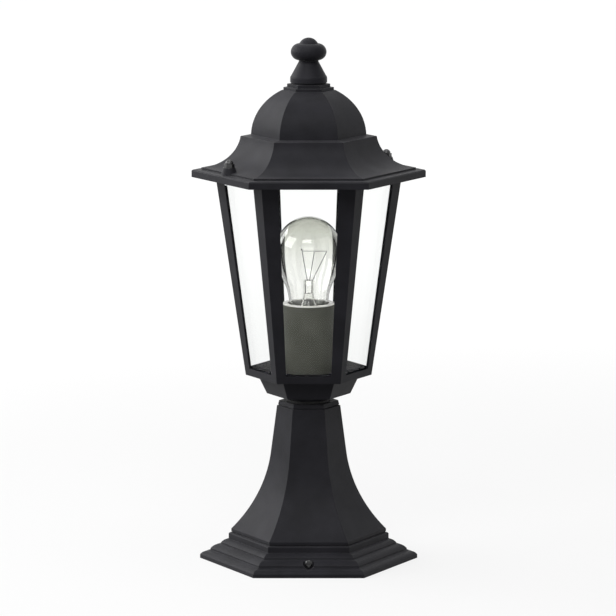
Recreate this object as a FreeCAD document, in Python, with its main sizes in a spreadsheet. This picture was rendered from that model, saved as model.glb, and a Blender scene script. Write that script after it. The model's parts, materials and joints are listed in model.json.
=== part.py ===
import FreeCAD, Part
import math
import os

import Sketcher
from FreeCAD import Placement, Rotation, Vector

# Driving dimensions in millimetres; a "flat" is the distance from the axis to a side of the hexagon
SIZES = {
    # pedestal
    "pedestal_tall": 122.9,
    "cap_flat": 19.5,
    "cap_tall": 3.1,
    "cap_groove": 0.5,
    "stem_flat": 20.9,
    "waist_flat": 24.86,
    "waist_up": 84.1,
    "flare_flat": 51.35,
    "flare_bow": 110.0,
    "plinth_flat": 72.15,
    "plinth_tall": 23.0,
    "pedestal_wall": 3.0,
    "web_thick": 4.3,
    # mounting bracket and wiring
    "strip_wide": 40.0,
    "strip_thick": 2.0,
    "bend": 2.0,
    "ground_slot_apart": 72.0,
    "ground_slot_wide": 5.6,
    "ground_slot_long": 11.0,
    "block_wide": 28.5,
    "block_deep": 14.0,
    "block_tall": 18.0,
    "lead_thick": 1.8,
    # neck, cup and threaded tube
    "gasket_radius": 16.5,
    "gasket_thick": 1.5,
    "spigot_radius": 15.0,
    "spigot_tall": 3.8,
    "cup_foot_flat": 27.6,
    "cup_top_flat": 33.6,
    "cup_tall": 14.3,
    "cup_wall": 2.5,
    "tube_radius": 5.0,
    "tube_bore": 3.6,
    "nut_flat": 8.5,
    "nut_tall": 5.0,
    "nut_washer_radius": 11.5,
    "washer_thick": 1.5,
    # lantern cage and panes
    "ring_flat": 41.5,
    "ring_tall": 5.7,
    "floor_thick": 3.0,
    "cage_tall": 152.4,
    "post_wall": 1.6,
    "leg_top": 12.6,
    "leg_foot": 7.4,
    "flange_thick": 2.5,
    "lip_thick": 2.0,
    "lip_tall": 3.2,
    "pane_thick": 3.0,
    "pane_gap": 0.1,
    # roof
    "eave_flat": 76.75,
    "eave_over": 15.75,
    "eave_drop": 3.1,
    "eave_round": 0.8,
    "rim_wide": 6.5,
    "rim_step": 1.7,
    "skirt_spread": 25.7,
    "skirt_tall": 23.9,
    "skirt_bow": 28.0,
    "ledge_wide": 6.8,
    "ledge_rise": 1.1,
    "dome_tall": 33.8,
    "dome_bow": 39.9,
    "dome_lip": 1.1,
    "collar_wide": 2.4,
    "collar_tall": 2.2,
    "crown_flat": 14.1,
    "crown_tall": 2.6,
    "roof_wall": 2.5,
    "keeper_drop": 5.2,
    # roof fasteners
    "stud_inset": 8.15,
    "stud_radius": 2.0,
    "boss_radius": 4.8,
    "boss_rise": 3.6,
    "cap_washer_radius": 4.4,
    "cap_washer_thick": 0.8,
    "cap_nut_flat": 3.5,
    "cap_nut_tall": 2.4,
    "cap_nut_dome": 3.1,
    # finial
    "bell_radius": 14.0,
    "bell_band": 4.2,
    "bell_tall": 13.6,
    "neck_radius": 7.4,
    "knob_radius": 13.5,
    "knob_tall": 12.6,
    "tip_tall": 4.4,
    "finial_stud_radius": 3.0,
    "finial_stud_long": 15.0,
    # lampholder and bulb
    "sleeve_radius": 19.7,
    "sleeve_wall": 1.8,
    "sleeve_tall": 51.8,
    "holder_rim": 0.9,
    "insert_up": 8.0,
    "insert_thick": 5.7,
    "shell_tall": 20.5,
    "bulb_tall": 104.0,
    "bulb_radius": 24.5,
    "bulb_neck": 15.0,
    "bulb_wall": 0.7,
    "bulb_cap_radius": 13.05,
    "thread_pitch": 3.62,
    # room left between pieces that slide together
    "slide_gap": 0.3,
    "thread_gap": 0.05,
}

SLOPE_OF_FLAT = math.tan(math.radians(30))
ACROSS_FLATS = Rotation(Vector(0, 1, 0), Vector(0, 0, 1), Vector(1, 0, 0), "ZXY")
FORWARD = Rotation(Vector(1, 0, 0), 90)
UP = Vector(0, 0, 1)

doc = FreeCAD.newDocument("garden_post_lamp")
sheet = doc.addObject("Spreadsheet::Sheet", "sizes")
for row, (alias, number) in enumerate(SIZES.items(), 1):
    sheet.set(f"A{row}", str(number))
    sheet.setAlias(f"A{row}", alias)
doc.recompute()


def value(number):
    return number.value if isinstance(number, Size) else number


def formula(number):
    return number.formula if isinstance(number, Size) else f"({number})"


class Size:
    """A length that knows its value now and the formula that ties it to the sheet."""

    def __init__(self, number, text):
        self.value = number
        self.formula = text

    def __add__(self, other):
        return Size(self.value + value(other), f"({self.formula} + {formula(other)})")

    def __sub__(self, other):
        return Size(self.value - value(other), f"({self.formula} - {formula(other)})")

    def __mul__(self, other):
        return Size(self.value * value(other), f"({self.formula} * {formula(other)})")

    def __truediv__(self, other):
        return Size(self.value / value(other), f"({self.formula} / {formula(other)})")

    def __neg__(self):
        return Size(-self.value, f"(-1 * {self.formula})")

    def __rsub__(self, other):
        return -self + other

    __radd__ = __add__
    __rmul__ = __mul__


class Sheet:
    """Hands out each cell of the sheet by its name."""

    def __getattr__(self, name):
        return Size(float(sheet.get(name)), f"sizes.{name}")


s = Sheet()


def bind(item, prop, size):
    """Ties one property of an object to the sheet."""
    item.setExpression(prop, formula(size))


def put(item, x=0, y=0, z=0, turn=None):
    """Places an object, its position tied to the sheet."""
    item.Placement = Placement(Vector(value(x), value(y), value(z)), turn or Rotation())
    for axis, size in zip("xyz", (x, y, z)):
        if isinstance(size, Size):
            bind(item, f"Placement.Base.{axis}", size)
    return item


def pin(sketch, edge, end, x, y):
    """Holds one end of a sketch edge at its place from the origin."""
    for kind, size, axis in (("DistanceX", x, -2), ("DistanceY", y, -1)):
        if value(size) == 0:
            sketch.addConstraint(Sketcher.Constraint("PointOnObject", edge, end, axis))
            continue
        index = sketch.addConstraint(Sketcher.Constraint(kind, -1, 1, edge, end, float(value(size))))
        bind(sketch, f"Constraints[{index}]", size)


def arc(start, stop, radius, side):
    """The arc between two points with its centre on the left (1) or right (-1) of the way."""
    middle = (start + stop) * 0.5
    way = stop - start
    across = Vector(-way.y, way.x, 0).normalize() * side
    centre = middle + across * math.sqrt(radius**2 - (way.Length / 2) ** 2)
    first, last = (start, stop) if side > 0 else (stop, start)
    angles = [math.atan2(point.y - centre.y, point.x - centre.x) for point in (first, last)]
    if angles[1] < angles[0]:
        angles[1] += 2 * math.pi
    return Part.ArcOfCircle(Part.Circle(centre, UP, radius), *angles)


def draw(sketch, outline, closed=True):
    """Draws an outline from point to point. A point (x, y, radius, side) is reached by an arc."""
    points = [Vector(value(point[0]), value(point[1]), 0) for point in outline]
    ends = []
    for index in range(0 if closed else 1, len(outline)):
        bend = outline[index][2:]
        if bend:
            edge = sketch.addGeometry(arc(points[index - 1], points[index], value(bend[0]), bend[1]))
            radius = sketch.addConstraint(Sketcher.Constraint("Radius", edge, float(value(bend[0]))))
            bind(sketch, f"Constraints[{radius}]", bend[0])
            ends.append((edge, 1, 2) if bend[1] > 0 else (edge, 2, 1))
        else:
            edge = sketch.addGeometry(Part.LineSegment(points[index - 1], points[index]))
            ends.append((edge, 1, 2))
        pin(sketch, edge, ends[-1][2], *outline[index][:2])
    if not closed:
        pin(sketch, ends[0][0], ends[0][1], *outline[0][:2])
    for index in range(0 if closed else 1, len(ends)):
        before, after = ends[index - 1], ends[index]
        sketch.addConstraint(Sketcher.Constraint("Coincident", before[0], before[2], after[0], after[1]))


def mirrored(half):
    """Completes an outline drawn down its right side with the same points up its left side."""
    left = []
    for index in reversed(range(len(half))):
        bend = half[index + 1][2:] if index + 1 < len(half) else ()
        left.append((-half[index][0], half[index][1], *bend))
    return list(half) + left


def turned_copy(item, angle):
    """A linked copy turned about the lamp's axis."""
    copy = doc.addObject("App::Link", f"{item.Name}_at_{angle}")
    copy.LinkedObject = item
    copy.LinkTransform = True
    copy.LinkPlacement = Placement(Vector(), Rotation(UP, angle))
    return copy


def extruded(name, outline, length, turn):
    """An outline extruded evenly to both sides of its plane."""
    sketch = doc.addObject("Sketcher::SketchObject", f"{name}_outline")
    sketch.Placement = Placement(Vector(), turn)
    draw(sketch, outline)
    solid = doc.addObject("Part::Extrusion", name)
    solid.Base = sketch
    solid.DirMode = "Normal"
    solid.Solid = True
    solid.Symmetric = True
    bind(solid, "LengthFwd", length)
    return solid


def joined(kind, name, shapes):
    """A boolean of several shapes: MultiFuse or MultiCommon."""
    result = doc.addObject(f"Part::{kind}", name)
    result.Shapes = shapes
    return result


def hexagonal(name, half):
    """The six-sided solid whose flats all follow one outline, given from the top down."""
    flats = extruded(f"{name}_flats", mirrored(half), s.eave_flat * 4, ACROSS_FLATS)
    return joined("MultiCommon", name, [flats, turned_copy(flats, 60), turned_copy(flats, 120)])


def cut(name, base, tools):
    """A solid with other solids taken out of it."""
    result = doc.addObject("Part::Cut", name)
    result.Base = base
    result.Tool = tools[0] if len(tools) == 1 else joined("MultiFuse", f"{name}_cutters", tools)
    return result


def cylinder(name, radius, length, x=0, y=0, z=0, turn=None):
    solid = doc.addObject("Part::Cylinder", name)
    bind(solid, "Radius", radius)
    bind(solid, "Height", length)
    return put(solid, x, y, z, turn)


def box(name, wide, deep, tall, y=0, z=0):
    """A box centred on x, standing with its front face at y."""
    solid = doc.addObject("Part::Box", name)
    bind(solid, "Length", wide)
    bind(solid, "Width", deep)
    bind(solid, "Height", tall)
    return put(solid, -wide / 2, y, z)


def hex_prism(name, flat, tall, z=0):
    solid = doc.addObject("Part::Prism", name)
    solid.Polygon = 6
    bind(solid, "Circumradius", flat / math.cos(math.radians(30)))
    bind(solid, "Height", tall)
    return put(solid, z=z)


def hex_ring(name, outer_flat, thick, foot, top):
    """A six-sided ring between two levels."""
    outer = hex_prism(f"{name}_outer", outer_flat, top - foot, foot)
    inner = hex_prism(f"{name}_inner", outer_flat - thick, top - foot, foot)
    return cut(name, outer, [inner])


def sketch_on(body, plane, name):
    sketch = body.newObject("Sketcher::SketchObject", name)
    role = next(item for item in body.Origin.OriginFeatures if item.Role == plane)
    sketch.AttachmentSupport = [(role, "")]
    sketch.MapMode = "FlatFace"
    return sketch


def turned(name, outline):
    """A turned piece: an outline to the right of the axis, revolved once around."""
    body = doc.addObject("PartDesign::Body", name)
    sketch = sketch_on(body, "XZ_Plane", f"{name}_outline")
    draw(sketch, outline)
    spin = body.newObject("PartDesign::Revolution", f"{name}_turned")
    spin.Profile = sketch
    spin.ReferenceAxis = (sketch, ["V_Axis"])
    return body


def wire(name, plane, path, thick):
    """A round wire along straight runs and arcs drawn in one upright plane."""
    body = doc.addObject("PartDesign::Body", name)
    spine = sketch_on(body, plane, f"{name}_path")
    draw(spine, path, closed=False)
    section = sketch_on(body, "XY_Plane", f"{name}_section")
    across, up = path[0][:2]
    section.AttachmentOffset = Placement(Vector(0, 0, value(up)), Rotation())
    bind(section, "AttachmentOffset.Base.z", up)
    centre = Vector(value(across), 0, 0) if plane == "XZ_Plane" else Vector(0, value(across), 0)
    edge = section.addGeometry(Part.Circle(centre, UP, value(thick) / 2))
    radius = section.addConstraint(Sketcher.Constraint("Radius", edge, value(thick) / 2))
    bind(section, f"Constraints[{radius}]", thick / 2)
    place = (across, 0) if plane == "XZ_Plane" else (0, across)
    pin(section, edge, 3, *place)
    pipe = body.newObject("PartDesign::AdditivePipe", f"{name}_pipe")
    pipe.Profile = section
    pipe.Spine = (spine, [f"Edge{index}" for index in range(1, len(path))])
    return body


def both_ways(item):
    """An item and the same one on the opposite side of the lamp."""
    return [item, turned_copy(item, 180)]


def at_studs(item):
    """An item drawn at the front, set at the two opposite faces that carry the roof studs."""
    return [turned_copy(item, 120), turned_copy(item, 300)]


def root(size):
    return Size(math.sqrt(size.value), f"sqrt({size.formula})")


def cap_bow(half, rise):
    """The radius of a round cap of this half-width and rise, its centre on the axis."""
    return (half * half + rise * rise) / (rise * 2)


def bowed(start, stop, share, side):
    """The end of an arc whose radius is a share of the distance between its ends."""
    across, rise = stop[0] - start[0], stop[1] - start[1]
    return (*stop, root(across * across + rise * rise) * share, side)


def group(name, pieces):
    """Identical fasteners kept together as one sub-part."""
    result = doc.addObject("Part::Compound", name)
    result.Links = pieces
    return result


def out(share):
    """A distance from the axis between the flare's foot (0) and the plinth's foot (1)."""
    return s.flare_flat + (s.plinth_flat - s.flare_flat) * share


def up(share):
    """A height between the ground (0) and the top of the plinth (1)."""
    return s.plinth_tall * share


# Levels of the lamp from the ground up
cup_foot = s.pedestal_tall + s.gasket_thick + s.spigot_tall
ring_foot = cup_foot + s.cup_tall
floor_top = ring_foot + s.floor_thick
flange_foot = ring_foot + s.cage_tall
flange_top = flange_foot + s.flange_thick
rim_top = flange_top + s.roof_wall
skirt_foot = rim_top + s.rim_step
ledge_up = skirt_foot + s.skirt_tall
dome_foot = ledge_up + s.ledge_rise
dome_top = dome_foot + s.dome_tall
collar_top = dome_top + s.collar_tall
roof_top = collar_top + s.crown_tall
tube_hole = s.tube_radius + s.slide_gap
cage_top_flat = s.eave_flat - s.eave_over
stud_out = s.eave_flat - s.stud_inset

# Pedestal: a hollow six-sided flare on a stepped plinth
flare = [
    (s.cap_flat, s.pedestal_tall),
    (s.cap_flat + s.cap_groove * 1.4, s.pedestal_tall - s.cap_tall),
    (s.cap_flat, s.pedestal_tall - s.cap_tall - s.cap_groove),
    (s.stem_flat, s.pedestal_tall - s.cap_tall - s.cap_groove * 1.6),
    (s.waist_flat, s.waist_up),
    (s.flare_flat, s.plinth_tall, s.flare_bow, 1),
]
upper_step = (out(0.084), up(0.66)), (out(0.33), up(0.525))
middle_step = (out(0.36), up(0.485)), (out(0.665), up(0.33))
lower_step = (out(0.8), up(0.235)), (out(1), up(0.12))
cove_top = (out(0.665), up(0.285))
moulding = [
    (out(0), up(0.909)),
    (out(-0.02), up(0.9)),
    (out(-0.02), up(0.874)),
    (out(0.053), up(0.865)),
    (out(0.084), up(0.835)),
    upper_step[0],
    bowed(*upper_step, 1.15, -1),
    (out(0.33), up(0.49)),
    middle_step[0],
    bowed(*middle_step, 1.15, -1),
    cove_top,
    bowed(cove_top, lower_step[0], 1.6, 1),
    bowed(*lower_step, 1.15, -1),
    (out(1), up(0)),
]
hollow = [
    (s.stem_flat - s.pedestal_wall, s.pedestal_tall - s.web_thick),
    (s.waist_flat - s.pedestal_wall, s.waist_up),
    (s.flare_flat - s.pedestal_wall, up(0.935), s.flare_bow + s.pedestal_wall, 1),
    (out(-0.065), up(0.78)),
    (out(-0.065), up(0.517)),
    (out(0.339), up(0.365)),
    (out(0.474), up(0.243)),
    (out(0.8), up(0.113)),
    (out(0.858), up(0.061)),
    (out(0.858), up(-0.05)),
]
bracket_reach = out(-0.12)
recess_floor = out(0.478)
screw_up = up(0.39)
screw_radius = s.strip_thick * 0.75
head_radius = screw_radius * 1.85
recess_radius = head_radius * 1.5

blank = hexagonal("pedestal_blank", flare + moulding)
shell = cut("pedestal_shell", blank, [hexagonal("pedestal_hollow", hollow)])
pad = box("pad", recess_radius * 3.4, recess_floor - bracket_reach, up(0.5), -recess_floor, up(0.14))
pads = joined("MultiFuse", "pads", both_ways(pad))
pads_inside = joined("MultiCommon", "pads_inside", [blank, pads])
recess = cylinder("recess", recess_radius, s.plinth_flat, y=-recess_floor, z=screw_up, turn=FORWARD)
screw_hole = cylinder("screw_hole", screw_radius + s.slide_gap, s.plinth_flat, z=screw_up, turn=FORWARD)
tube_drill = cylinder("web_hole", tube_hole, s.web_thick * 3, z=s.pedestal_tall - s.web_thick * 2)
pedestal_body = joined("MultiFuse", "pedestal_body", [shell, pads_inside])
pedestal = cut("pedestal", pedestal_body, [tube_drill] + both_ways(recess) + both_ways(screw_hole))
screw = turned("bracket_screw", [
    (0, s.strip_thick),
    (head_radius * 0.7, s.strip_thick),
    (head_radius, s.strip_thick * 0.6),
    (head_radius, 0),
    (screw_radius, 0),
    (screw_radius, bracket_reach - recess_floor - s.strip_thick * 2),
    (0, bracket_reach - recess_floor - s.strip_thick * 2),
])
slot_wide = s.strip_thick * 0.35
slot = box("driver_slot", head_radius * 2.2, slot_wide, s.strip_thick, -slot_wide / 2, s.strip_thick * 0.5)
slotted = put(cut("slotted_screw", screw, [slot]), y=-recess_floor, z=screw_up, turn=FORWARD)
bracket_screws = group("bracket_screws", both_ways(slotted))

# Mounting bracket: a bent steel strip with an upright tongue for the terminal block
outer_bend = s.bend + s.strip_thick
ear_top = up(0.6)
ear_face = bracket_reach - s.strip_thick
strip = extruded("bracket_strip", mirrored([
    (bracket_reach - outer_bend, s.strip_thick),
    (ear_face, outer_bend, s.bend, 1),
    (ear_face, ear_top),
    (bracket_reach, ear_top),
    (bracket_reach, outer_bend),
    (bracket_reach - outer_bend, 0, outer_bend, -1),
]), s.strip_wide, ACROSS_FLATS)
block_foot = s.strip_thick * 2.5
block_top = block_foot + s.block_tall
tongue_face = s.block_deep / 2
tongue_root = tongue_face + outer_bend
tongue = extruded("bracket_tongue", [
    (tongue_face, block_top),
    (tongue_face + s.strip_thick, block_top),
    (tongue_face + s.strip_thick, outer_bend),
    (tongue_root, s.strip_thick, s.bend, 1),
    (tongue_root, 0),
    (tongue_face, outer_bend, outer_bend, -1),
], s.block_wide * 0.84, ACROSS_FLATS)
through = s.strip_thick * 3
below = -s.strip_thick
cable_opening = box("cable_opening", s.block_wide * 0.9, tongue_root * 2, through, -tongue_root, below)
earth_out = tongue_root * 2
slot_cutters = []
for side in (-1, 1):
    middle = s.ground_slot_apart / 2 * side
    half_run = (s.ground_slot_long - s.ground_slot_wide) / 2
    slot_run = box(f"slot_{side}", s.ground_slot_wide, half_run * 2, through, middle - half_run, below)
    slot_ends = [
        cylinder(f"slot_end_{side}_{end}", s.ground_slot_wide / 2, through,
                 y=middle + half_run * end, z=below) for end in (-1, 1)
    ]
    slot_cutters += [slot_run, *slot_ends]
ear_hole = cylinder("ear_hole", screw_radius + s.thread_gap, s.plinth_flat, z=screw_up, turn=FORWARD)
earth_hole = cylinder("earth_hole", s.stud_radius + s.thread_gap, through, y=earth_out, z=below)
block_screw_up = block_foot + s.block_tall / 2
block_screw_out = s.block_wide / 6
tongue_holes = [
    cylinder(f"tongue_hole_{side}", screw_radius + s.thread_gap, s.block_deep, x=block_screw_out * side,
             y=tongue_face * 2, z=block_screw_up, turn=FORWARD) for side in (-1, 1)
]
strip_open = cut("strip_open", strip, [cable_opening, earth_hole] + slot_cutters + both_ways(ear_hole))
tongue_drilled = cut("tongue_drilled", tongue, tongue_holes)
mounting_bracket = joined("MultiFuse", "mounting_bracket", [strip_open, tongue_drilled])

# Terminal block with its clamp screws and the two screws that hold it to the tongue
pole = s.block_wide / 3
lead_radius = s.lead_thick / 2
clamp_radius = s.lead_thick
wells = []
clamps = []
for place in (-1, 0, 1):
    across = pole * place
    wells.append(cylinder(f"wire_way_{place}", lead_radius + s.slide_gap, s.block_tall * 2, x=across))
    for level in (0.25, 0.75):
        height = block_foot + s.block_tall * level
        well = cylinder(f"well_{place}_{level}", clamp_radius + s.thread_gap, s.block_deep, x=across,
                        z=height, turn=FORWARD)
        clamp = cylinder(f"clamp_{place}_{level}", clamp_radius, s.block_deep * 0.3, x=across,
                         y=-(lead_radius + s.thread_gap), z=height, turn=FORWARD)
        wells.append(well)
        clamps.append(clamp)
block_screw_seat = s.block_deep * 0.28
block_pieces = []
for side in (-1, 1):
    across = block_screw_out * side
    seat = cylinder(f"seat_{side}", head_radius + s.slide_gap, s.block_deep, x=across, y=-block_screw_seat,
                    z=block_screw_up, turn=FORWARD)
    block_hole = cylinder(f"block_hole_{side}", screw_radius + s.slide_gap, s.block_deep * 2, x=across,
                          y=s.block_deep, z=block_screw_up, turn=FORWARD)
    wells += [seat, block_hole]
    head = cylinder(f"block_head_{side}", head_radius, s.strip_thick, x=across, y=-block_screw_seat,
                    z=block_screw_up, turn=FORWARD)
    shank_long = tongue_face + s.strip_thick * 1.5 + block_screw_seat
    shank = cylinder(f"block_shank_{side}", screw_radius, shank_long, x=across,
                     y=shank_long - block_screw_seat, z=block_screw_up, turn=FORWARD)
    block_pieces.append(joined("MultiFuse", f"block_screw_{side}", [head, shank]))
block_body = box("block_body", s.block_wide, s.block_deep, s.block_tall, -s.block_deep / 2, block_foot)
terminal_block = cut("terminal_block", block_body, wells)
terminal_screws = group("terminal_screws", clamps)
block_screws = group("block_screws", block_pieces)

# Neck gasket, cup and the threaded tube that clamps lantern and pedestal together
gasket = turned("neck_gasket", [
    (tube_hole, s.pedestal_tall),
    (s.gasket_radius, s.pedestal_tall),
    (s.gasket_radius, s.pedestal_tall + s.gasket_thick),
    (tube_hole, s.pedestal_tall + s.gasket_thick),
])
cup_blank = hexagonal("cup_blank", [(s.cup_top_flat, ring_foot), (s.cup_foot_flat, cup_foot)])
cup_hollow = hexagonal("cup_hollow", [
    (s.cup_top_flat - s.cup_wall, ring_foot + s.cup_wall),
    (s.cup_top_flat - s.cup_wall, ring_foot),
    (s.cup_foot_flat - s.cup_wall, cup_foot + s.cup_wall),
])
spigot = cylinder("cup_spigot", s.spigot_radius, s.spigot_tall + s.cup_wall, z=cup_foot - s.spigot_tall)
cup_drill = cylinder("cup_hole", tube_hole, s.cup_tall * 2, z=cup_foot - s.cup_tall)
cup_body = joined("MultiFuse", "cup_body", [cut("cup_shell", cup_blank, [cup_hollow]), spigot])
cup = cut("cup", cup_body, [cup_drill])
web_foot = s.pedestal_tall - s.web_thick
washer_foot = web_foot - s.washer_thick
nut_foot = washer_foot - s.nut_tall
tube_foot = nut_foot - s.nut_tall
insert_foot = floor_top + s.insert_up
tube_top = insert_foot - s.insert_up * 0.15
threaded_tube = turned("threaded_tube", [
    (s.tube_bore, tube_foot),
    (s.tube_radius, tube_foot),
    (s.tube_radius, tube_top),
    (s.tube_bore, tube_top),
])
tube_washer = turned("tube_washer", [
    (tube_hole, washer_foot),
    (s.nut_washer_radius, washer_foot),
    (s.nut_washer_radius, web_foot),
    (tube_hole, web_foot),
])
nut_drill = cylinder("nut_hole", s.tube_radius + s.thread_gap, s.nut_tall, z=nut_foot)
tube_nut = cut("tube_nut", hex_prism("nut_body", s.nut_flat, s.nut_tall, nut_foot), [nut_drill])

# Lantern cage: ring and floor, six V-section posts and the flange under the roof
lean = (cage_top_flat - s.ring_flat) / s.cage_tall
along = root(lean * lean + 1)
wall_inside = s.ring_flat - s.post_wall
pane_level_thick = s.pane_thick * along
flange_flat = s.eave_flat - s.roof_wall - s.slide_gap * 3
cage_blank = hexagonal("cage_blank", [
    (flange_flat, flange_top),
    (flange_flat, flange_foot),
    (cage_top_flat, flange_foot),
    (s.ring_flat, ring_foot),
])
cage_hollow = hexagonal("cage_hollow", [
    (cage_top_flat - s.post_wall + lean * s.flange_thick * 2, flange_foot + s.flange_thick * 2),
    (wall_inside + lean * s.floor_thick, floor_top),
])
window = extruded("cage_window", mirrored([
    (cage_top_flat * SLOPE_OF_FLAT - s.leg_top, flange_foot),
    ((s.ring_flat + lean * s.ring_tall) * SLOPE_OF_FLAT - s.leg_foot, ring_foot + s.ring_tall),
]), s.eave_flat * 4, FORWARD)
windows = [window, turned_copy(window, 60), turned_copy(window, 120)]
lip_flat = wall_inside + lean * s.floor_thick - s.pane_gap - pane_level_thick - s.slide_gap
lip = hex_ring("cage_lip", lip_flat, s.lip_thick, floor_top, floor_top + s.lip_tall)
flange_hole = cylinder("flange_hole", s.stud_radius + s.thread_gap, s.flange_thick * 3, y=-stud_out,
                       z=flange_foot - s.flange_thick)
floor_hole = cylinder("floor_hole", tube_hole, s.floor_thick * 3, z=ring_foot - s.floor_thick)
cage_open = cut("cage_open", cage_blank, [cage_hollow] + windows + [floor_hole] + at_studs(flange_hole))
cage = joined("MultiFuse", "cage", [cage_open, lip])

# Six panes leaning on the inside of the posts, standing on the floor behind the ring
pane_out = wall_inside + lean * s.floor_thick - s.pane_gap
pane_rise = flange_top - floor_top - s.slide_gap
pane_foot_half = (pane_out - pane_level_thick) * SLOPE_OF_FLAT - s.slide_gap
pane_top_half = pane_foot_half + lean * pane_rise * SLOPE_OF_FLAT
tilt = Size(math.degrees(math.atan(lean.value)), f"atan({lean.formula})")
panes = []
for turn, side in enumerate(("front", "front_right", "back_right", "back", "back_left", "front_left")):
    pane = doc.addObject("PartDesign::Body", f"pane_{side}")
    sheet_outline = sketch_on(pane, "XZ_Plane", f"pane_{side}_outline")
    lean_back = Rotation(Vector(1, 0, 0), tilt.value)
    sheet_outline.AttachmentOffset = Placement(Vector(0, floor_top.value, pane_out.value), lean_back)
    bind(sheet_outline, "AttachmentOffset.Base.y", floor_top)
    bind(sheet_outline, "AttachmentOffset.Base.z", pane_out)
    bind(sheet_outline, "AttachmentOffset.Rotation.Angle", tilt)
    draw(sheet_outline, mirrored([(pane_top_half, pane_rise * along), (pane_foot_half, 0)]))
    glass = pane.newObject("PartDesign::Pad", f"pane_{side}_glass")
    glass.Profile = sheet_outline
    glass.Reversed = True
    bind(glass, "Length", s.pane_thick)
    pane.Placement = Placement(Vector(), Rotation(UP, 60 * turn))
    panes.append(pane)

# Roof: one hollow casting with an ogee skirt, a domed top and a keeper for the panes
skirt_flat = s.eave_flat - s.rim_wide
ledge_flat = skirt_flat - s.skirt_spread
dome_foot_flat = ledge_flat - s.ledge_wide
collar_flat = s.crown_flat + s.collar_wide
dome_top_flat = collar_flat + s.dome_lip
eave_foot = flange_top - s.eave_drop
web_top_inside = dome_top - s.roof_wall * 0.8
roof_blank = hexagonal("roof_blank", [
    (s.crown_flat, roof_top),
    (s.crown_flat, collar_top),
    (collar_flat, collar_top),
    (collar_flat, dome_top),
    (dome_top_flat, dome_top),
    (dome_foot_flat, dome_foot, s.dome_bow, -1),
    (ledge_flat, ledge_up),
    (skirt_flat, skirt_foot, s.skirt_bow, 1),
    (skirt_flat, rim_top + s.eave_round * 0.4),
    (s.eave_flat - s.eave_round, rim_top),
    (s.eave_flat, rim_top - s.eave_round),
    (s.eave_flat, eave_foot),
])
roof_hollow = hexagonal("roof_hollow", [
    (dome_top_flat - s.roof_wall, web_top_inside),
    (dome_foot_flat - s.roof_wall, dome_foot - s.roof_wall, s.dome_bow - s.roof_wall, -1),
    (ledge_flat - s.roof_wall * 0.9, ledge_up - s.roof_wall),
    (skirt_flat - s.roof_wall * 0.9, skirt_foot - s.roof_wall * 0.92, s.skirt_bow + s.roof_wall, 1),
    (skirt_flat - s.roof_wall * 0.9, flange_top),
    (s.eave_flat - s.roof_wall, flange_top),
    (s.eave_flat - s.roof_wall, eave_foot - s.roof_wall),
])
keeper_foot = flange_top - s.keeper_drop
keeper_flat = pane_out + lean * (keeper_foot - floor_top) - pane_level_thick - s.slide_gap
keeper_ring = hex_ring("keeper_ring", keeper_flat, s.lip_thick, keeper_foot, dome_foot)
keeper = joined("MultiCommon", "keeper", [keeper_ring, roof_blank])
boss_top = skirt_foot + s.boss_rise
boss = put(doc.addObject("Part::Cone", "stud_boss"), y=-stud_out, z=flange_top)
bind(boss, "Radius1", s.boss_radius * 1.5)
bind(boss, "Radius2", s.boss_radius)
bind(boss, "Height", boss_top - flange_top)
stud_hole = cylinder("stud_hole", s.stud_radius + s.slide_gap, s.skirt_tall, y=-stud_out, z=eave_foot)
finial_hole = cylinder("finial_hole", s.finial_stud_radius + s.slide_gap, s.dome_tall,
                       z=dome_foot + s.crown_tall * 3)
roof_shell = cut("roof_shell", roof_blank, [roof_hollow])
roof_body = joined("MultiFuse", "roof_body", [roof_shell, keeper] + at_studs(boss))
roof = cut("roof", roof_body, [finial_hole] + at_studs(stud_hole))

# Roof fasteners: a headed stud, a washer and a cap nut on two opposite faces
stud_head = s.stud_radius * 1.2
cap_nut_foot = boss_top + s.cap_washer_thick
stud = turned("roof_stud", [
    (0, flange_foot - stud_head),
    (s.stud_radius * 1.75, flange_foot - stud_head),
    (s.stud_radius * 1.75, flange_foot),
    (s.stud_radius, flange_foot),
    (s.stud_radius, cap_nut_foot + s.cap_nut_tall * 0.8),
    (0, cap_nut_foot + s.cap_nut_tall * 0.8),
])
washer = turned("cap_washer", [
    (s.stud_radius + s.slide_gap, boss_top),
    (s.cap_washer_radius, boss_top),
    (s.cap_washer_radius, cap_nut_foot),
    (s.stud_radius + s.slide_gap, cap_nut_foot),
])
dome_rise = s.cap_nut_dome
nut_dome = turned("cap_nut_dome_top", [
    (0, cap_nut_foot),
    (s.cap_nut_dome, cap_nut_foot),
    (s.cap_nut_dome, cap_nut_foot + s.cap_nut_tall + dome_rise * 0.25),
    (0, cap_nut_foot + s.cap_nut_tall + dome_rise, cap_bow(s.cap_nut_dome, dome_rise * 0.75), 1),
])
nut_hex = hex_prism("cap_nut_hex", s.cap_nut_flat, s.cap_nut_tall, cap_nut_foot)
nut_bore = cylinder("cap_nut_bore", s.stud_radius + s.thread_gap, s.cap_nut_tall, z=cap_nut_foot)
cap_nut = cut("cap_nut", joined("MultiFuse", "cap_nut_body", [nut_hex, nut_dome]), [nut_bore])
for piece in (stud, washer, cap_nut):
    put(piece, y=-stud_out)
roof_studs = group("roof_studs", at_studs(stud))
cap_washers = group("cap_washers", at_studs(washer))
cap_nuts = group("cap_nuts", at_studs(cap_nut))

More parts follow.
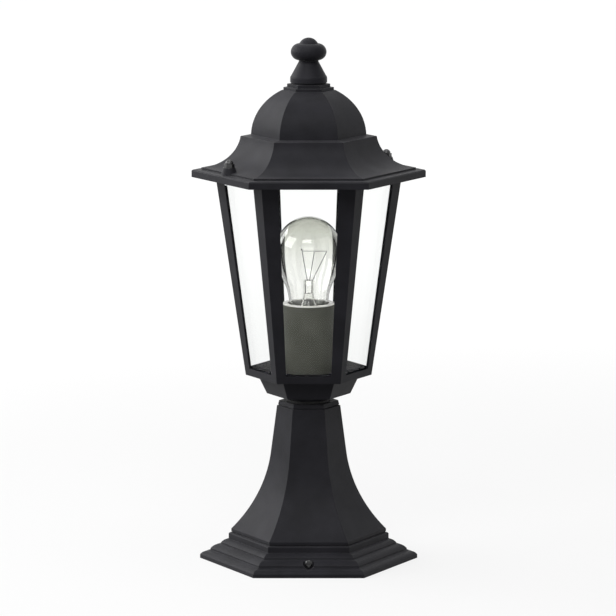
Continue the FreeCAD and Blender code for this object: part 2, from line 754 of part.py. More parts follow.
# Finial: a turned bell and knob on a stud, held from inside the dome
bell_top = roof_top + s.bell_band
knob_foot = bell_top + s.bell_tall
knob_middle = knob_foot + s.knob_tall / 2
tip_foot = knob_foot + s.knob_tall
tip_radius = s.neck_radius * 0.95
bell_foot_radius = s.bell_radius * 0.93
stud_foot = roof_top - s.finial_stud_long
finial = turned("finial", [
    (0, tip_foot + s.tip_tall),
    (tip_radius, tip_foot, cap_bow(tip_radius, s.tip_tall), -1),
    (s.knob_radius, knob_middle, s.knob_tall * 0.515, -1),
    (s.neck_radius, knob_foot, s.knob_tall * 0.5, -1),
    (s.neck_radius, knob_foot - s.bell_tall * 0.06),
    (s.bell_radius * 0.935, bell_top + s.bell_tall * 0.16),
    (s.bell_radius, bell_top, s.bell_tall * 0.25, -1),
    (s.bell_radius, roof_top + s.bell_band * 0.28),
    (bell_foot_radius, roof_top + s.bell_band * 0.16),
    (bell_foot_radius, roof_top),
    (s.finial_stud_radius, roof_top),
    (s.finial_stud_radius, stud_foot),
    (0, stud_foot),
])
finial_washer_foot = web_top_inside - s.washer_thick
finial_washer = turned("finial_washer", [
    (s.finial_stud_radius + s.slide_gap, finial_washer_foot),
    (s.finial_stud_radius * 2.2, finial_washer_foot),
    (s.finial_stud_radius * 2.2, web_top_inside),
    (s.finial_stud_radius + s.slide_gap, web_top_inside),
])
finial_nut_tall = s.finial_stud_radius * 1.5
finial_nut_foot = finial_washer_foot - finial_nut_tall
finial_nut_flat = s.finial_stud_radius * 1.67
finial_nut_body = hex_prism("finial_nut_body", finial_nut_flat, finial_nut_tall, finial_nut_foot)
finial_nut_drill = cylinder("finial_nut_hole", s.finial_stud_radius + s.thread_gap, finial_nut_tall,
                            z=finial_nut_foot)
finial_nut = cut("finial_nut", finial_nut_body, [finial_nut_drill])

# Lampholder: base on the tube, sleeve around it, insert with its rim on the sleeve, shell and contact
insert_floor = insert_foot + s.insert_thick
sleeve_bore = s.sleeve_radius - s.sleeve_wall
sleeve_top = floor_top + s.sleeve_tall
holder_sleeve = turned("holder_sleeve", [
    (sleeve_bore, floor_top),
    (s.sleeve_radius, floor_top),
    (s.sleeve_radius, sleeve_top - s.sleeve_wall * 0.3),
    (s.sleeve_radius - s.sleeve_wall * 0.3, sleeve_top),
    (sleeve_bore, sleeve_top),
])
base_radius = sleeve_bore - s.slide_gap
base_bore = base_radius - s.sleeve_wall
insert_radius = base_bore - s.slide_gap
shell_radius = s.bulb_cap_radius + s.slide_gap * 2
base_floor = floor_top + s.floor_thick
base_top = insert_floor + s.sleeve_wall * 2
thread_hole = s.tube_radius + s.thread_gap
holder_base = turned("holder_base", [
    (thread_hole, floor_top),
    (base_radius, floor_top),
    (base_radius, base_top),
    (base_bore, base_top),
    (base_bore, insert_foot),
    (base_bore - s.sleeve_wall, insert_foot),
    (base_bore - s.sleeve_wall, base_floor),
    (s.tube_radius * 1.5, base_floor),
    (s.tube_radius * 1.5, tube_top),
    (thread_hole, tube_top),
])
mouth_radius = s.bulb_neck + s.slide_gap * 3
insert_step = base_top + s.slide_gap
shell_seat = insert_floor + s.shell_tall * 0.8
insert_cup = turned("insert_cup", [
    (0, insert_foot),
    (insert_radius, insert_foot),
    (insert_radius, insert_step),
    (base_radius, insert_step),
    (base_radius, sleeve_top),
    (s.sleeve_radius, sleeve_top),
    (s.sleeve_radius, sleeve_top + s.holder_rim),
    (mouth_radius, sleeve_top + s.holder_rim),
    (mouth_radius, shell_seat),
    (shell_radius + s.thread_gap, shell_seat),
    (shell_radius + s.thread_gap, insert_floor),
    (0, insert_floor),
])
lead_apart = s.tube_bore / 2
terminals = [
    cylinder(f"insert_terminal_{side}", lead_radius + s.slide_gap, s.insert_thick, x=lead_apart * side,
             z=insert_foot - s.insert_thick * 0.4) for side in (-1, 1)
]
holder_insert = cut("holder_insert", insert_cup, terminals)
holder_screw_shell = turned("holder_screw_shell", [
    (s.bulb_cap_radius + s.slide_gap, insert_floor),
    (shell_radius, insert_floor),
    (shell_radius, insert_floor + s.shell_tall),
    (s.bulb_cap_radius + s.slide_gap, insert_floor + s.shell_tall),
])
contact_thick = s.strip_thick / 2
contact_long = s.bulb_cap_radius * 1.4
holder_contact = box("holder_contact", s.bulb_cap_radius * 0.6, contact_long, contact_thick,
                     -contact_long / 2, insert_floor)

# Bulb, from its contact up
bulb_foot = insert_floor + contact_thick
bulb_top = bulb_foot + s.bulb_tall
button = s.bulb_cap_radius * 0.35
button_tall = s.thread_pitch / 3
insulator_top = bulb_foot + s.thread_pitch * 1.16
bulb_contact = turned("bulb_contact", [
    (0, bulb_foot),
    (button, bulb_foot + button_tall, cap_bow(button, button_tall), 1),
    (0, bulb_foot + button_tall),
])
bulb_insulator = turned("bulb_insulator", [
    (0, bulb_foot + button_tall),
    (button, bulb_foot + button_tall),
    (s.bulb_cap_radius * 0.8, insulator_top),
    (0, insulator_top),
])
thread_root = s.bulb_cap_radius * 0.95
cap_wall = s.bulb_wall * 0.6
thread_foot = insulator_top + s.thread_pitch * 0.25
thread_top = thread_foot + s.thread_pitch * 5
collar_radius = s.bulb_cap_radius * 1.03
cap_top = thread_top + s.thread_pitch
glass_foot = thread_top + s.thread_pitch * 0.3
cap_outline = [(s.bulb_cap_radius * 0.8, insulator_top), (thread_root, thread_foot)]
for turn in range(1, 6):
    cap_outline.append((thread_root, thread_foot + s.thread_pitch * turn, s.thread_pitch * 0.78, 1))
cap_outline += [
    (collar_radius, glass_foot - cap_wall),
    (collar_radius, cap_top),
    (collar_radius - cap_wall, cap_top),
    (collar_radius - cap_wall, glass_foot),
    (thread_root - cap_wall, thread_top),
    (thread_root - cap_wall, thread_foot + cap_wall),
    (s.bulb_cap_radius * 0.8 - cap_wall, insulator_top + cap_wall),
]
bulb_cap = turned("bulb_cap", cap_outline)
belly = bulb_top - s.bulb_radius
shoulder_radius = s.bulb_radius * 0.757
shoulder = belly - s.bulb_radius * 1.065
neck_up = shoulder - s.bulb_radius * 0.56
glass_neck = collar_radius - cap_wall - s.thread_gap
side_bow = s.bulb_radius * 2.45
neck_bow = s.bulb_radius * 1.43
bulb_glass = turned("bulb_glass", [
    (0, bulb_top),
    (s.bulb_radius, belly, s.bulb_radius, -1),
    (shoulder_radius, shoulder, side_bow, -1),
    (s.bulb_neck, neck_up, neck_bow, 1),
    (glass_neck, cap_top),
    (glass_neck, glass_foot),
    (glass_neck - s.bulb_wall, glass_foot),
    (glass_neck - s.bulb_wall, cap_top),
    (s.bulb_neck - s.bulb_wall, neck_up),
    (shoulder_radius - s.bulb_wall, shoulder, neck_bow + s.bulb_wall, -1),
    (s.bulb_radius - s.bulb_wall, belly, side_bow - s.bulb_wall, 1),
    (0, bulb_top - s.bulb_wall, s.bulb_radius - s.bulb_wall, 1),
])
stem_radius = s.bulb_neck * 0.25
stem_top = shoulder + s.bulb_radius * 0.08
stem_waist = neck_up + s.bulb_radius * 0.26
stem_foot = cap_top + s.thread_pitch * 0.8
stem_rim = glass_neck - s.bulb_wall * 1.1
stem_bow = s.bulb_neck * 1.3
bulb_stem = turned("bulb_stem", [
    (0, stem_top),
    (stem_radius, stem_top),
    (stem_radius, stem_waist),
    (stem_rim, stem_foot, stem_bow, 1),
    (stem_rim - s.bulb_wall, stem_foot - s.bulb_wall),
    (stem_radius - s.bulb_wall, stem_waist - s.bulb_wall, stem_bow + s.bulb_wall, -1),
    (0, stem_waist),
])
filament_up = belly - s.bulb_radius * 0.08
filament_left = -s.bulb_radius * 0.2
filament_right = s.bulb_radius * 0.55
wire_thick = s.bulb_wall * 0.8
filament_thick = s.bulb_wall
stem_head = stem_top + s.thread_gap
wire_top = filament_up - filament_thick
wire_ways = {
    "left": (-stem_radius * 0.3, filament_left),
    "middle": (stem_radius * 0.2, (filament_left + filament_right) / 2),
    "right": (stem_radius * 0.8, filament_right),
}
bulb_wires = group("bulb_wires", [
    wire(f"wire_{side}", "XZ_Plane", [(foot, stem_head), (head, wire_top)], wire_thick)
    for side, (foot, head) in wire_ways.items()
])
filament = cylinder("bulb_filament", filament_thick / 2, filament_right - filament_left, x=filament_left,
                    z=filament_up, turn=Rotation(Vector(0, 1, 0), 90))

# Leads from the lampholder down the tube to the terminal block, and the earth lead to its screw
lead_top = insert_foot + s.insert_thick * 0.5
lead_foot = block_foot + s.block_tall * 0.2
sway_top = tube_foot - s.nut_tall * 2
sway_tall = s.waist_up / 2
sway = pole - lead_apart
sway_bow = (sway * sway + sway_tall * sway_tall) / (sway * 4)
leads = [
    wire(f"lead_{label}", "XZ_Plane", [
        (lead_apart * side, lead_top),
        (lead_apart * side, sway_top),
        ((lead_apart + pole) / 2 * side, sway_top - sway_tall / 2, sway_bow, side),
        (pole * side, sway_top - sway_tall, sway_bow, -side),
        (pole * side, lead_foot),
    ], s.lead_thick) for label, side in (("live", -1), ("neutral", 1))
]
earth_level = s.strip_thick + lead_radius
loop = tongue_root * 0.62
loop_up = block_top + s.block_tall * 0.4
turn_in = s.bend * 2
lead_earth = wire("lead_earth", "YZ_Plane", [
    (0, lead_foot),
    (0, loop_up),
    (loop, loop_up + loop, loop, -1),
    (loop * 2, loop_up, loop, -1),
    (loop * 2, earth_level + turn_in),
    (loop * 2 + turn_in, earth_level, turn_in, 1),
    (earth_out - s.stud_radius - s.thread_gap, earth_level),
], s.lead_thick)
earth_seat = s.strip_thick + s.lead_thick
earth_screw = put(turned("earth_screw", [
    (0, -s.strip_thick),
    (s.stud_radius, -s.strip_thick),
    (s.stud_radius, 0),
    (s.stud_radius * 2, 0),
    (s.stud_radius * 2, s.strip_thick * 0.5),
    (s.stud_radius * 1.8, s.strip_thick * 1.4),
    (0, s.strip_thick * 1.4),
]), y=earth_out, z=earth_seat)

# Write every sub-part
SUBPARTS = [
    pedestal, bracket_screws, mounting_bracket, terminal_block, terminal_screws, block_screws,
    gasket, cup, threaded_tube, tube_washer, tube_nut, cage, *panes, roof, roof_studs, cap_washers,
    cap_nuts, finial, finial_washer, finial_nut, holder_sleeve, holder_base, holder_insert,
    holder_screw_shell, holder_contact, bulb_contact, bulb_insulator, bulb_cap, bulb_glass, bulb_stem,
    bulb_wires, filament, *leads, lead_earth, earth_screw,
]
doc.recompute()
for item in doc.Objects:
    if "Invalid" in item.State or "Error" in item.State:
        raise RuntimeError(f"{item.Name} did not build")
os.makedirs("parts", exist_ok=True)
for item in SUBPARTS:
    if item.Shape.isNull() or not item.Shape.isValid():
        raise RuntimeError(f"{item.Label} has no sound shape")
    item.Shape.exportStep(f"parts/{item.Label}.step")
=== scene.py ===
import json
import math

import bpy
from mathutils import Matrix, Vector


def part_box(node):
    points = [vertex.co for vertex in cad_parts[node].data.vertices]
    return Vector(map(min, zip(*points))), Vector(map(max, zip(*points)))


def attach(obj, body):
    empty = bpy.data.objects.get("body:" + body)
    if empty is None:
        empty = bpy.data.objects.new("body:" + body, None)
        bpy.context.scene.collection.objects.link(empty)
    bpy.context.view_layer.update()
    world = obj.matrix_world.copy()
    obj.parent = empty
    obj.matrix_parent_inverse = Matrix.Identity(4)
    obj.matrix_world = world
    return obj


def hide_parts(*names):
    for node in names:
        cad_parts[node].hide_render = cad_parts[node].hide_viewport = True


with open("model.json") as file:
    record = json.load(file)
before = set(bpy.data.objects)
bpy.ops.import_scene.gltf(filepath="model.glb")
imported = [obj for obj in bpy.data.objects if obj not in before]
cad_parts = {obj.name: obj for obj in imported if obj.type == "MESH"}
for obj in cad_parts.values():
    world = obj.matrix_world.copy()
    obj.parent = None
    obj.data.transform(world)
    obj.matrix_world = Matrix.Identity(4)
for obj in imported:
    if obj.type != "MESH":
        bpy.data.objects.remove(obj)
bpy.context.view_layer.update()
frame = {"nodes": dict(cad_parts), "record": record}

# Camera of the photograph: distance, aim and far limit in metres, height above the horizon in degrees
CAMERA_AWAY = 3.18705
CAMERA_AIM = Vector((-0.0005, 0, 0.19394))
CAMERA_FAR = 100
CAMERA_RISE = 8.91

# Sensor and lens of the camera, in millimetres
SENSOR = 36.0
LENS = 245.0

# Floor: half its width, its grey, and its glow near the lamp and far off
FLOOR_HALF = 14.0
FLOOR_GREY = 0.14
FLOOR_GLOW = (0.79, 0.965)
FLOOR_GLOW_REACH = (0.4, 1.8)

# Light of the room, away from its bright side and towards it
ROOM_LIGHT = (0.1, 1.0)
ROOM_REACH = (0.4, 0.95)
ROOM_BRIGHT_WAY = (-0.53, 0.82, 0.2)

# Soft boxes: place, width and height in metres, and brightness as seen in a mirror
LAMPS = {
    "key_left": ((-2.15, 0.3, 1.3), 3.4, 1.8, 3.8),
    "front_top": ((-0.4, -1.8, 1.95), 1.9, 1.3, 4.6),
    "overhead": ((0.1, 0.1, 2.4), 2.2, 1.3, 2.2),
    "fill_front": ((-0.3, -3.6, 0.5), 3.0, 1.4, 0.8),
}

# Parts of a noise's range over which a tone and a roughness change
TONE_REACH = (0.35, 0.65)
ROUGH_REACH = (0.3, 0.7)

# Satin black coat: tones, gloss, sheen and roughness
BLACK_DEEP = (0.013, 0.0129, 0.0155)
BLACK_PALE = (0.018, 0.0178, 0.0215)
# Lighter tone painted on the edges as a painted highlight
PAINTED_EDGE_HIGHLIGHT = (0.03, 0.03, 0.032)
COAT_GLOSS = 0.06
COAT_SHEEN = 0.05
COAT_SHEEN_ROUGH = 0.45
COAT_ROUGH = (0.425, 0.475)

# Patterns of the coat in cells a metre, and the depth of the raised ones in metres
COAT_CLOUDS = 55
COAT_PATCHES = 90
COAT_PEEL = 750
COAT_PEEL_DEPTH = 0.00006
COAT_GRAIN = 2600
COAT_GRAIN_DEPTH = 0.00002

# Edges of the castings: radius in metres, rays that look for it, and match of normals from flat to edge,
# over which the lighter painted highlight comes in
EDGE_ROUND = 0.0005
EDGE_RAYS = 6
EDGE_MATCH = (1.0, 0.82)

# Upward part of the normal, from faces without dust to faces with it
DUST_TILT = (0.7, 0.95)

# Glass: depth of its wave in metres, how much finer it is than the tint, and heights over which the bulb
# turns greyer towards its top
WAVE_DEPTH = 0.00002
WAVE_FINER = 2
GREY_TOP_REACH = (0.22, 0.262)
# limb is a darker tint painted at the contour as shade, coming in from limb_from of the facing onward
GLASSES = {
    "pane_glass": dict(
        tint=(0.965, 0.97, 0.966), tint_far=(0.975, 0.98, 0.976),
        limb=(0.94, 0.955, 0.947), limb_from=0.4, clouds=9, index=1.14,
    ),
    "bulb_glass": dict(
        tint=(0.94, 0.945, 0.92), tint_far=(1.0, 1.0, 0.985),
        limb=(0.16, 0.17, 0.15), limb_from=0.5, clouds=22, index=1.5, grey_top=(0.78, 0.79, 0.74),
    ),
}

# Metals: dark and light tone, roughness, and grain in cells a metre
METAL_CLOUDS = 120
METAL_PATCHES = 200
METAL_ROUGH_SPREAD = 0.12
METAL_GRAIN_STRETCH = (1, 1, 12)
METAL_GRAIN_DEPTH = 0.00002
METALS = {
    "zinc_steel": ((0.5, 0.51, 0.53), (0.62, 0.63, 0.64), 0.28, 500),
    "brass": ((0.62, 0.45, 0.2), (0.74, 0.57, 0.3), 0.25, 600),
    "bulb_metal": ((0.68, 0.68, 0.67), (0.8, 0.8, 0.78), 0.22, 600),
    "filament": ((0.05, 0.05, 0.052), (0.1, 0.1, 0.1), 0.35, 2000),
}

# Plastics: dark and light tone, roughness, grain in cells a metre, its depth in metres, any unusual gloss
PLASTIC_CLOUDS = 70
PLASTIC_PATCHES = 140
PLASTIC_ROUGH_SPREAD = 0.1
PLASTIC_GLOSS = 0.5
PLASTICS = {
    "black_fastener": ((0.008, 0.008, 0.009), (0.014, 0.014, 0.015), 0.25, 900, 0.00003),
    "holder_plastic": ((0.067, 0.0685, 0.0565), (0.08, 0.0815, 0.0685), 0.55, 1400, 0.00001, 0.08),
    "white_insulator": ((0.72, 0.71, 0.66), (0.8, 0.79, 0.75), 0.15, 400, 0.00002),
    "black_insulator": ((0.006, 0.006, 0.008), (0.012, 0.012, 0.014), 0.1, 400, 0.00001),
    "gasket_rubber": ((0.01, 0.01, 0.01), (0.018, 0.018, 0.018), 0.7, 1800, 0.00005),
    "lead_brown": ((0.12, 0.045, 0.02), (0.17, 0.07, 0.03), 0.4, 1500, 0.00002),
    "lead_blue": ((0.02, 0.09, 0.36), (0.035, 0.13, 0.45), 0.4, 1500, 0.00002),
}

# Earth lead: tones, closeness and sharpness of its bands, roughness, and its grain with the depth of it
EARTH_GREEN = (0.04, 0.2, 0.03)
EARTH_YELLOW = (0.7, 0.6, 0.03)
EARTH_BANDS = 160
EARTH_BAND_REACH = (0.48, 0.52)
EARTH_ROUGH = (0.4, 0.5)
EARTH_GRAIN = 1500
EARTH_GRAIN_DEPTH = 0.00002

# Filament, in metres: radius of its wire, pitch of its coil, and how far its ends reach past the coil
COIL_WIRE = 0.00009
COIL_PITCH = 0.00042
HOOK_DROP = 0.0004
HOOK_RISE = 0.0014

# Points in a turn of the coil, and the thickness of the hooks and of the bead, in wires
COIL_STEPS = 12
HOOK_THICK = 3.0
BEAD_THICK = 7.0


def add_node(tree, kind, **settings):
    """Adds a node of a kind, with its settings."""
    made = tree.nodes.new(kind)
    for key, setting in settings.items():
        setattr(made, key, setting)
    return made


def combine(tree, operation, first, second):
    """Works out one number from two."""
    made = add_node(tree, "ShaderNodeMath", operation=operation)
    tree.links.new(first, made.inputs[0])
    tree.links.new(second, made.inputs[1])
    return made.outputs["Value"]


def run(tree, source, reach, values=(0, 1), easing="SMOOTHSTEP"):
    """Carries a value over from one range to another."""
    made = add_node(tree, "ShaderNodeMapRange", interpolation_type=easing)
    made.inputs["From Min"].default_value, made.inputs["From Max"].default_value = reach
    made.inputs["To Min"].default_value, made.inputs["To Max"].default_value = values
    tree.links.new(source, made.inputs["Value"])
    return made.outputs["Result"]


def part_of(tree, source, axis):
    """One axis of a place or direction."""
    made = add_node(tree, "ShaderNodeSeparateXYZ")
    tree.links.new(source, made.inputs["Vector"])
    return made.outputs[axis]


class Paint:
    """One procedural material, put together around a Principled shader."""

    def __init__(self, name):
        self.material = bpy.data.materials.new(name)
        self.material.use_nodes = True
        self.tree = self.material.node_tree
        self.shader = self.tree.nodes["Principled BSDF"]
        self.place = self.node("ShaderNodeTexCoord").outputs["Object"]

    def node(self, kind, **settings):
        """Adds a node to the material."""
        return add_node(self.tree, kind, **settings)

    def link(self, source, target):
        """Leads one socket into another."""
        self.tree.links.new(source, target)

    def set(self, **values):
        """Sets constant values on the shader, with spaces in a socket's name written as underscores."""
        for key, number in values.items():
            self.shader.inputs[key.replace("_", " ")].default_value = number

    def feed(self, socket, source):
        """Leads a varying value into one socket of the shader."""
        self.link(source, self.shader.inputs[socket])

    def noise(self, scale, detail=2.0, stretch=(1, 1, 1)):
        """A noise over the object, its scale in cells a metre."""
        spread = self.node("ShaderNodeMapping")
        spread.inputs["Scale"].default_value = stretch
        grain = self.node("ShaderNodeTexNoise")
        grain.inputs["Scale"].default_value = scale
        grain.inputs["Detail"].default_value = detail
        self.link(self.place, spread.inputs["Vector"])
        self.link(spread.outputs["Vector"], grain.inputs["Vector"])
        return grain.outputs["Fac"]

    def ramp(self, source, low, high, reach=TONE_REACH):
        """Turns a pattern into a run between two colours."""
        made = self.node("ShaderNodeValToRGB")
        first, last = made.color_ramp.elements
        first.position, last.position = reach
        first.color, last.color = (*low, 1), (*high, 1)
        self.link(source, made.inputs["Fac"])
        return made.outputs["Color"]

    def colour(self, scale, low, high):
        """Lets the colour drift between two tones."""
        self.feed("Base Color", self.ramp(self.noise(scale, detail=3.0), low, high))

    def roughness(self, scale, low, high):
        """Lets the roughness drift between two values."""
        pattern = self.noise(scale, detail=3.0)
        self.feed("Roughness", run(self.tree, pattern, ROUGH_REACH, (low, high), easing="LINEAR"))

    def bump(self, height, depth, under=None):
        """Raises the surface by a height from 0 to 1 times depth, in metres."""
        made = self.node("ShaderNodeBump")
        made.inputs["Strength"].default_value = 1.0
        made.inputs["Distance"].default_value = depth
        self.link(height, made.inputs["Height"])
        if under is not None:
            self.link(under, made.inputs["Normal"])
        self.feed("Normal", made.outputs["Normal"])
        return made.outputs["Normal"]

    def true_normal(self):
        """The direction that the bare face looks in."""
        return self.node("ShaderNodeNewGeometry").outputs["True Normal"]

    def facing_up(self):
        """1 on level faces that look up, 0 on upright ones."""
        return run(self.tree, part_of(self.tree, self.true_normal(), "Z"), DUST_TILT)

    def mix(self, share, first, second):
        """Goes from a colour that varies to a plain one as the share goes from 0 to 1."""
        made = self.node("ShaderNodeMix", data_type="RGBA")
        self.link(share, made.inputs["Factor"])
        self.link(first, made.inputs["A"])
        made.inputs["B"].default_value = (*second, 1)
        return made.outputs["Result"]

    def soft_edges(self):
        """A normal that rounds the sharp edges of a casting."""
        made = self.node("ShaderNodeBevel", samples=EDGE_RAYS)
        made.inputs["Radius"].default_value = EDGE_ROUND
        return made.outputs["Normal"]

    def edges(self, rounded):
        """1 on edges, 0 on flats: how far the rounded normal leaves the true one; it places the painted
        edge highlight.
        """
        match = self.node("ShaderNodeVectorMath", operation="DOT_PRODUCT")
        self.link(rounded, match.inputs[0])
        self.link(self.true_normal(), match.inputs[1])
        return run(self.tree, match.outputs["Value"], EDGE_MATCH)


def black_casting(name, dusty=False):
    """Satin powder coat with fine orange peel and edges painted lighter as a painted highlight, dull on
    top if dusty.
    """
    paint = Paint(name)
    paint.set(Specular_IOR_Level=COAT_GLOSS, Sheen_Weight=COAT_SHEEN, Sheen_Roughness=COAT_SHEEN_ROUGH)
    if dusty:
        for socket, level in (("Specular IOR Level", COAT_GLOSS), ("Sheen Weight", COAT_SHEEN)):
            paint.feed(socket, run(paint.tree, paint.facing_up(), (0, 1), (level, 0)))
    rounded = paint.soft_edges()
    tone = paint.ramp(paint.noise(COAT_CLOUDS, detail=4.0), BLACK_DEEP, BLACK_PALE)
    # Painted highlight: the edges take the lighter tone
    paint.feed("Base Color", paint.mix(paint.edges(rounded), tone, PAINTED_EDGE_HIGHLIGHT))
    paint.roughness(COAT_PATCHES, *COAT_ROUGH)
    peel = paint.bump(paint.noise(COAT_PEEL), COAT_PEEL_DEPTH, under=rounded)
    paint.bump(paint.noise(COAT_GRAIN, detail=1.0), COAT_GRAIN_DEPTH, under=peel)
    return paint.material


def glass(name, tint, tint_far, limb, limb_from, clouds, index, grey_top=None):
    """Clear glass with a refractive index, a faint drifting tint, a darker limb painted in as shade, and
    a slight wave.
    """
    paint = Paint(name)
    paint.set(Transmission_Weight=1.0, IOR=index, Roughness=0.0)
    clear = paint.ramp(paint.noise(clouds, detail=3.0), tint, tint_far)
    # Greyer towards the top of the bulb, over the given heights
    if grey_top:
        height = part_of(paint.tree, paint.place, "Z")
        clear = paint.mix(run(paint.tree, height, GREY_TOP_REACH), clear, grey_top)
    # Painted shade: the tint darkens towards the contour, where the glass faces away
    facing = paint.node("ShaderNodeLayerWeight").outputs["Facing"]
    contour = run(paint.tree, facing, (limb_from, 1))
    paint.feed("Base Color", paint.mix(contour, clear, limb))
    paint.bump(paint.noise(clouds * WAVE_FINER, detail=1.0), WAVE_DEPTH)
    return paint.material


def metal(name, dark, light, rough, grain):
    """Plated or pressed metal with a drawn grain."""
    paint = Paint(name)
    paint.set(Metallic=1.0)
    paint.colour(METAL_CLOUDS, dark, light)
    paint.roughness(METAL_PATCHES, rough, rough + METAL_ROUGH_SPREAD)
    paint.bump(paint.noise(grain, stretch=METAL_GRAIN_STRETCH), METAL_GRAIN_DEPTH)
    return paint.material


def plastic(name, dark, light, rough, grain, depth, gloss=PLASTIC_GLOSS):
    """Moulded plastic, rubber or glazed ware with its own grain."""
    paint = Paint(name)
    paint.set(Specular_IOR_Level=gloss)
    paint.colour(PLASTIC_CLOUDS, dark, light)
    paint.roughness(PLASTIC_PATCHES, rough, rough + PLASTIC_ROUGH_SPREAD)
    paint.bump(paint.noise(grain), depth)
    return paint.material


def banded_lead(name):
    """Green insulation with slanting yellow bands."""
    paint = Paint(name)
    band = paint.node("ShaderNodeTexWave", wave_type="BANDS", bands_direction="DIAGONAL")
    band.inputs["Scale"].default_value = EARTH_BANDS
    paint.link(paint.place, band.inputs["Vector"])
    paint.feed("Base Color", paint.ramp(band.outputs["Fac"], EARTH_GREEN, EARTH_YELLOW, EARTH_BAND_REACH))
    paint.roughness(PLASTIC_PATCHES, *EARTH_ROUGH)
    paint.bump(paint.noise(EARTH_GRAIN), EARTH_GRAIN_DEPTH)
    return paint.material


# Materials of the slots, and of nodes that have one of their own
MATERIALS = {
    "black_casting": black_casting("black_casting"),
    **{slot: glass(slot, **look) for slot, look in GLASSES.items()},
    **{slot: metal(slot, *look) for slot, look in METALS.items()},
    **{slot: plastic(slot, *look) for slot, look in PLASTICS.items()},
    "lead_green": banded_lead("lead_green"),
}
NODE_MATERIALS = {"cage": black_casting("dusty_casting", dusty=True)}


def dress():
    """Gives every CAD node the material of its slot, or its own."""
    for row in frame["record"]["subparts"]:
        mesh = frame["nodes"][row["node"]].data
        mesh.materials.clear()
        mesh.materials.append(NODE_MATERIALS.get(row["node"], MATERIALS[row["material_slot"]]))


def add_object(name, data):
    """Puts an object that shows the given data into the scene."""
    made = bpy.data.objects.new(name, data)
    bpy.context.scene.collection.objects.link(made)
    return made


def filament_path():
    """Points of the filament and their thickness: up at the left, over the hook, along the coil, down."""
    low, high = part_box("bulb_filament")
    middle = (low + high) / 2
    coil_radius = (high.z - low.z) / 2 - COIL_WIRE
    steps = round((high.x - low.x) / COIL_PITCH) * COIL_STEPS
    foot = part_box("bulb_wires")[1].z - HOOK_DROP
    bead = high.z + HOOK_RISE / 2
    path = [
        (low.x, middle.y, foot, HOOK_THICK),
        (low.x, middle.y, high.z, HOOK_THICK),
        (low.x - HOOK_RISE / 4, middle.y, bead, BEAD_THICK),
        (low.x - HOOK_RISE / 2, middle.y, high.z + HOOK_RISE, HOOK_THICK),
        (low.x, middle.y, bead, HOOK_THICK),
    ]
    for step in range(steps + 1):
        angle = 2 * math.pi * step / COIL_STEPS
        along = low.x + (high.x - low.x) * step / steps
        aside, above = coil_radius * math.sin(angle), coil_radius * math.cos(angle)
        path.append((along, middle.y + aside, middle.z + above, 1))
    path.append((high.x, middle.y, foot, HOOK_THICK))
    return path


def add_filament():
    """Winds the filament as a fine coil between its wires, with a hook and a bead on the left."""
    data = bpy.data.curves.new("filament_coil", "CURVE")
    data.dimensions = "3D"
    data.bevel_depth = COIL_WIRE
    data.bevel_resolution = 1
    data.use_fill_caps = True
    path = filament_path()
    spline = data.splines.new("POLY")
    spline.points.add(len(path) - 1)
    for point, (x, y, z, thick) in zip(spline.points, path):
        point.co = (x, y, z, 1)
        point.radius = thick
    coil = add_object("filament_coil", data)
    data.materials.append(MATERIALS["filament"])
    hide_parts("bulb_filament")
    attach(coil, "root")


def shows_white(tree):
    """1 for a ray from the camera, on its way through glass, or off a glossy surface."""
    rays = add_node(tree, "ShaderNodeLightPath").outputs
    straight = combine(tree, "MAXIMUM", rays["Is Camera Ray"], rays["Is Transmission Ray"])
    return combine(tree, "MAXIMUM", straight, rays["Is Glossy Ray"])


def floor_material():
    """Pale paper with a glow that shows as white to the camera, through glass and in reflections."""
    material = bpy.data.materials.new("pale_floor")
    material.use_nodes = True
    tree = material.node_tree
    tree.nodes.remove(tree.nodes["Principled BSDF"])
    paper = add_node(tree, "ShaderNodeBsdfDiffuse")
    paper.inputs["Color"].default_value = (FLOOR_GREY, FLOOR_GREY, FLOOR_GREY, 1)
    place = add_node(tree, "ShaderNodeTexCoord").outputs["Object"]
    away = add_node(tree, "ShaderNodeVectorMath", operation="LENGTH")
    tree.links.new(place, away.inputs[0])
    bright = run(tree, away.outputs["Value"], FLOOR_GLOW_REACH, FLOOR_GLOW)
    glow = add_node(tree, "ShaderNodeEmission")
    tree.links.new(combine(tree, "MULTIPLY", shows_white(tree), bright), glow.inputs["Strength"])
    both = add_node(tree, "ShaderNodeAddShader")
    tree.links.new(paper.outputs["BSDF"], both.inputs[0])
    tree.links.new(glow.outputs["Emission"], both.inputs[1])
    tree.links.new(both.outputs["Shader"], tree.nodes["Material Output"].inputs["Surface"])
    return material


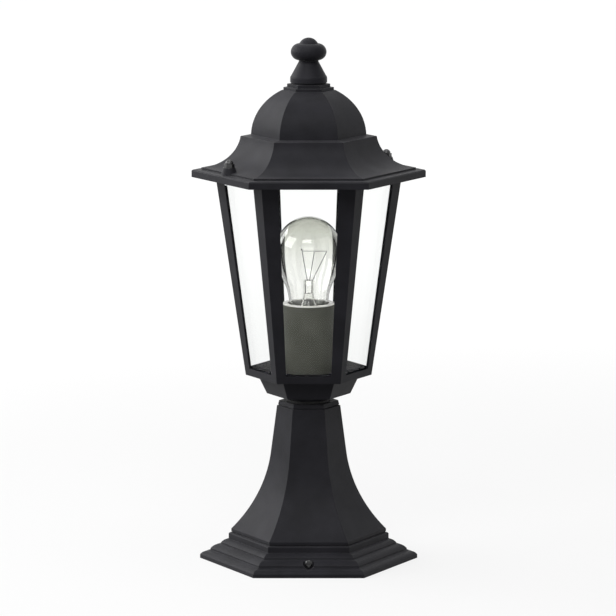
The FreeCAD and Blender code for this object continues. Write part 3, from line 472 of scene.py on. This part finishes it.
def add_floor():
    """Lays a wide pale floor that still takes the lamp's shadow."""
    mesh = bpy.data.meshes.new("floor")
    corners = [(x * FLOOR_HALF, y * FLOOR_HALF, 0) for x, y in ((-1, -1), (1, -1), (1, 1), (-1, 1))]
    mesh.from_pydata(corners, [], [(0, 1, 2, 3)])
    mesh.materials.append(floor_material())
    floor = add_object("floor", mesh)


def add_room():
    """Dim light from all round, brighter behind on the left, and white where it is seen or reflected."""
    world = bpy.data.worlds.new("room")
    bpy.context.scene.world = world
    world.use_nodes = True
    tree = world.node_tree
    toward = add_node(tree, "ShaderNodeVectorMath", operation="DOT_PRODUCT")
    tree.links.new(add_node(tree, "ShaderNodeTexCoord").outputs["Generated"], toward.inputs[0])
    toward.inputs[1].default_value = ROOM_BRIGHT_WAY
    light = run(tree, toward.outputs["Value"], ROOM_REACH, ROOM_LIGHT)
    background = tree.nodes["Background"].inputs
    background["Color"].default_value = (1, 1, 1, 1)
    tree.links.new(combine(tree, "MAXIMUM", shows_white(tree), light), background["Strength"])


def aim(thing, place):
    """Puts a lamp or the camera at a place and turns it to the middle of the picture."""
    thing.location = place
    thing.rotation_euler = (CAMERA_AIM - Vector(place)).to_track_quat("-Z", "Y").to_euler()


def add_lamp(name, place, wide, tall, bright):
    """Adds a soft box that faces the object."""
    light = bpy.data.lights.new(name, "AREA")
    light.shape = "RECTANGLE"
    light.size = wide
    light.size_y = tall
    light.energy = bright * wide * tall * math.pi
    aim(add_object(name, light), place)


def add_camera():
    """Sets up the camera of the photograph."""
    data = bpy.data.cameras.new("camera")
    data.sensor_width = SENSOR
    data.lens = LENS
    data.clip_end = CAMERA_FAR
    camera = add_object("camera", data)
    rise = math.radians(CAMERA_RISE)
    aim(camera, CAMERA_AIM + Vector((0, -math.cos(rise), math.sin(rise))) * CAMERA_AWAY)
    bpy.context.scene.camera = camera


dress()
add_filament()
add_floor()
add_room()
for lamp, settings in LAMPS.items():
    add_lamp(lamp, *settings)
add_camera()
bpy.context.scene.view_settings.view_transform = "Standard"
